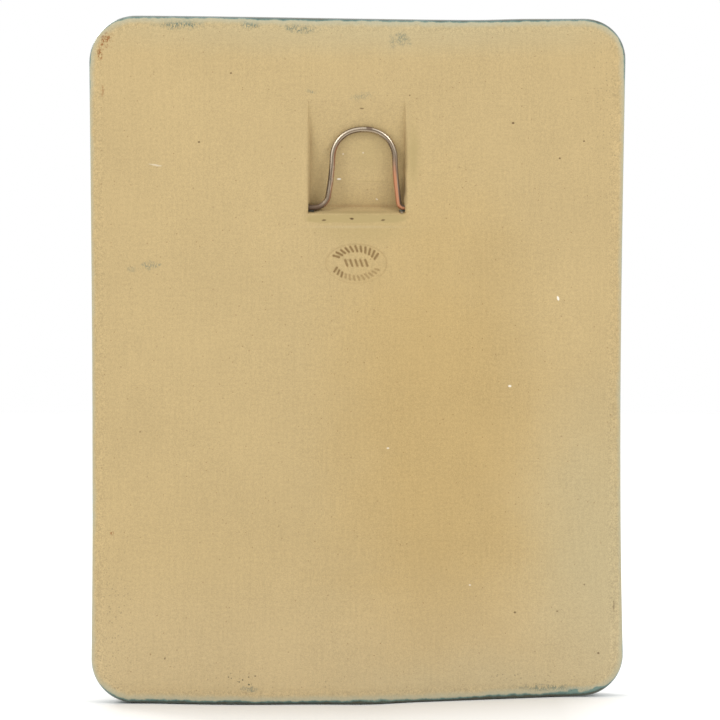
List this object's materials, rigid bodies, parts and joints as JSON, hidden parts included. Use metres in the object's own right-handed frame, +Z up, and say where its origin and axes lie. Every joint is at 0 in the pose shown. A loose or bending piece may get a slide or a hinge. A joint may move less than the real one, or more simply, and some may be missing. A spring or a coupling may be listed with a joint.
{
  "type": "decorative wall plaque",
  "caption": "Upright rectangular stoneware wall plaque with rounded corners, a sunk front field with a leaf spray in low relief, and a loose wire loop in a pocket in its bare back.",
  "frame": {"origin": "where a nail carries the plaque: in the plane of the back, at the height of the underside of the wire loop's arch, halfway across the plaque", "axes": "+Z up as the plaque hangs, +Y out of its bare back towards the wall, so its glazed front faces -Y; +X to the right of someone who looks at the front"},
  "size_m": [0.1817, 0.016, 0.2337],
  "materials": {
    "stoneware": "matte",
    "steel_wire": "satin"
  },
  "bodies": {
    "plaque": {"plaque": "stoneware"},
    "hanger": {"hanger_wire": "steel_wire"}
  },
  "joints": [
    {"name": "hanger_swing", "type": "hinge", "parent": "plaque", "child": "hanger", "pos_m": [0, -0.0034, -0.0255], "axis": [-1, 0, 0], "range_deg": [0, 100]}
  ]
}
